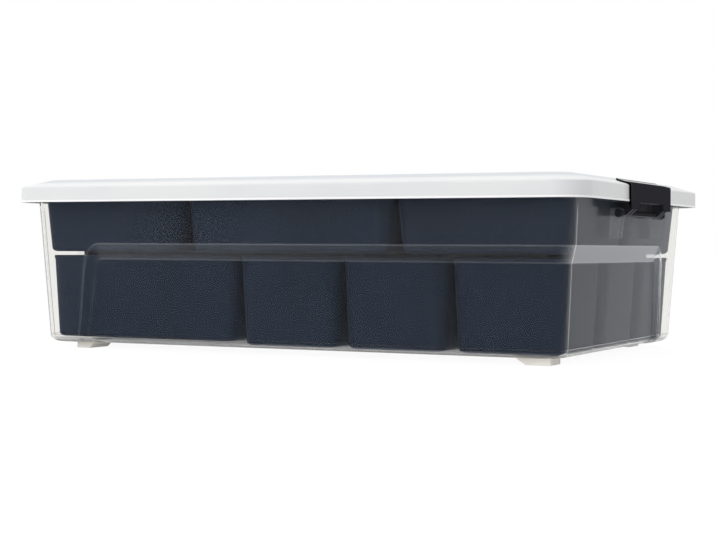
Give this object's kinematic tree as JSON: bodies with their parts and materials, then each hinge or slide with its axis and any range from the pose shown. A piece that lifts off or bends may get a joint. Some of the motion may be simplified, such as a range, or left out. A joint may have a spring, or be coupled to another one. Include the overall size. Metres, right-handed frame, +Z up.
{
  "type": "storage box",
  "caption": "Low clear storage box with a frosted lift-off lid, swing latches on its ends and two layers of loose organiser bins.",
  "frame": {"origin": "on the floor, under the centre of the box", "axes": "+X along the length towards one latch, +Y to the back, +Z up"},
  "size_m": [0.6052, 0.4, 0.1684],
  "materials": {
    "tub_clear": "clear, slightly milky polypropylene",
    "lid_frosted": "frosted translucent white",
    "bin_navy": "satin dark navy",
    "latch_black": "satin black"
  },
  "bodies": {
    "tub": {"tub": "tub_clear"},
    "lid": {"lid": "lid_frosted"},
    "latch_right": {"latch_right": "latch_black"},
    "latch_left": {"latch_left": "latch_black"},
    "bin_lower_double_a": {"bin_lower_double_a": "bin_navy"},
    "bin_lower_single_a1": {"bin_lower_single_a1": "bin_navy"},
    "bin_lower_single_a2": {"bin_lower_single_a2": "bin_navy"},
    "bin_lower_single_a3": {"bin_lower_single_a3": "bin_navy"},
    "bin_lower_double_b": {"bin_lower_double_b": "bin_navy"},
    "bin_lower_single_b1": {"bin_lower_single_b1": "bin_navy"},
    "bin_lower_single_b2": {"bin_lower_single_b2": "bin_navy"},
    "bin_lower_single_b3": {"bin_lower_single_b3": "bin_navy"},
    "bin_lower_double_c": {"bin_lower_double_c": "bin_navy"},
    "bin_lower_single_c1": {"bin_lower_single_c1": "bin_navy"},
    "bin_lower_single_c2": {"bin_lower_single_c2": "bin_navy"},
    "bin_lower_single_c3": {"bin_lower_single_c3": "bin_navy"},
    "bin_upper_middle_a": {"bin_upper_middle_a": "bin_navy"},
    "bin_upper_end_a1": {"bin_upper_end_a1": "bin_navy"},
    "bin_upper_end_a2": {"bin_upper_end_a2": "bin_navy"},
    "bin_upper_middle_b": {"bin_upper_middle_b": "bin_navy"},
    "bin_upper_end_b1": {"bin_upper_end_b1": "bin_navy"},
    "bin_upper_end_b2": {"bin_upper_end_b2": "bin_navy"}
  },
  "joints": [
    {"name": "latch_right_swing", "type": "hinge", "parent": "tub", "child": "latch_right", "pos_m": [0.2913, 0, 0.135], "axis": [0, 1, 0], "range_deg": [0, 110]},
    {"name": "latch_left_swing", "type": "hinge", "parent": "tub", "child": "latch_left", "pos_m": [-0.2913, 0, 0.135], "axis": [0, -1, 0], "range_deg": [0, 110]},
    {"name": "lid_lift", "type": "slide", "parent": "tub", "child": "lid", "axis": [0, 0, 1], "range_m": [0, 0.4]},
    {"name": "bin_lower_double_a_lift", "type": "slide", "parent": "tub", "child": "bin_lower_double_a", "axis": [0, 0, 1], "range_m": [0, 0.16]},
    {"name": "bin_lower_single_a1_lift", "type": "slide", "parent": "tub", "child": "bin_lower_single_a1", "axis": [0, 0, 1], "range_m": [0, 0.16]},
    {"name": "bin_lower_single_a2_lift", "type": "slide", "parent": "tub", "child": "bin_lower_single_a2", "axis": [0, 0, 1], "range_m": [0, 0.16]},
    {"name": "bin_lower_single_a3_lift", "type": "slide", "parent": "tub", "child": "bin_lower_single_a3", "axis": [0, 0, 1], "range_m": [0, 0.16]},
    {"name": "bin_lower_double_b_lift", "type": "slide", "parent": "tub", "child": "bin_lower_double_b", "axis": [0, 0, 1], "range_m": [0, 0.16]},
    {"name": "bin_lower_single_b1_lift", "type": "slide", "parent": "tub", "child": "bin_lower_single_b1", "axis": [0, 0, 1], "range_m": [0, 0.16]},
    {"name": "bin_lower_single_b2_lift", "type": "slide", "parent": "tub", "child": "bin_lower_single_b2", "axis": [0, 0, 1], "range_m": [0, 0.16]},
    {"name": "bin_lower_single_b3_lift", "type": "slide", "parent": "tub", "child": "bin_lower_single_b3", "axis": [0, 0, 1], "range_m": [0, 0.16]},
    {"name": "bin_lower_double_c_lift", "type": "slide", "parent": "tub", "child": "bin_lower_double_c", "axis": [0, 0, 1], "range_m": [0, 0.16]},
    {"name": "bin_lower_single_c1_lift", "type": "slide", "parent": "tub", "child": "bin_lower_single_c1", "axis": [0, 0, 1], "range_m": [0, 0.16]},
    {"name": "bin_lower_single_c2_lift", "type": "slide", "parent": "tub", "child": "bin_lower_single_c2", "axis": [0, 0, 1], "range_m": [0, 0.16]},
    {"name": "bin_lower_single_c3_lift", "type": "slide", "parent": "tub", "child": "bin_lower_single_c3", "axis": [0, 0, 1], "range_m": [0, 0.16]},
    {"name": "bin_upper_middle_a_lift", "type": "slide", "parent": "tub", "child": "bin_upper_middle_a", "axis": [0, 0, 1], "range_m": [0, 0.26]},
    {"name": "bin_upper_end_a1_lift", "type": "slide", "parent": "tub", "child": "bin_upper_end_a1", "axis": [0, 0, 1], "range_m": [0, 0.26]},
    {"name": "bin_upper_end_a2_lift", "type": "slide", "parent": "tub", "child": "bin_upper_end_a2", "axis": [0, 0, 1], "range_m": [0, 0.26]},
    {"name": "bin_upper_middle_b_lift", "type": "slide", "parent": "tub", "child": "bin_upper_middle_b", "axis": [0, 0, 1], "range_m": [0, 0.26]},
    {"name": "bin_upper_end_b1_lift", "type": "slide", "parent": "tub", "child": "bin_upper_end_b1", "axis": [0, 0, 1], "range_m": [0, 0.26]},
    {"name": "bin_upper_end_b2_lift", "type": "slide", "parent": "tub", "child": "bin_upper_end_b2", "axis": [0, 0, 1], "range_m": [0, 0.26]}
  ],
  "couplings": [
    {"joint": "bin_lower_double_a_lift", "follows": "lid_lift", "ratio": 0.4},
    {"joint": "bin_lower_single_a1_lift", "follows": "lid_lift", "ratio": 0.4},
    {"joint": "bin_lower_single_a2_lift", "follows": "lid_lift", "ratio": 0.4},
    {"joint": "bin_lower_single_a3_lift", "follows": "lid_lift", "ratio": 0.4},
    {"joint": "bin_lower_double_b_lift", "follows": "lid_lift", "ratio": 0.4},
    {"joint": "bin_lower_single_b1_lift", "follows": "lid_lift", "ratio": 0.4},
    {"joint": "bin_lower_single_b2_lift", "follows": "lid_lift", "ratio": 0.4},
    {"joint": "bin_lower_single_b3_lift", "follows": "lid_lift", "ratio": 0.4},
    {"joint": "bin_lower_double_c_lift", "follows": "lid_lift", "ratio": 0.4},
    {"joint": "bin_lower_single_c1_lift", "follows": "lid_lift", "ratio": 0.4},
    {"joint": "bin_lower_single_c2_lift", "follows": "lid_lift", "ratio": 0.4},
    {"joint": "bin_lower_single_c3_lift", "follows": "lid_lift", "ratio": 0.4},
    {"joint": "bin_upper_middle_a_lift", "follows": "lid_lift", "ratio": 0.65},
    {"joint": "bin_upper_end_a1_lift", "follows": "lid_lift", "ratio": 0.65},
    {"joint": "bin_upper_end_a2_lift", "follows": "lid_lift", "ratio": 0.65},
    {"joint": "bin_upper_middle_b_lift", "follows": "lid_lift", "ratio": 0.65},
    {"joint": "bin_upper_end_b1_lift", "follows": "lid_lift", "ratio": 0.65},
    {"joint": "bin_upper_end_b2_lift", "follows": "lid_lift", "ratio": 0.65}
  ]
}
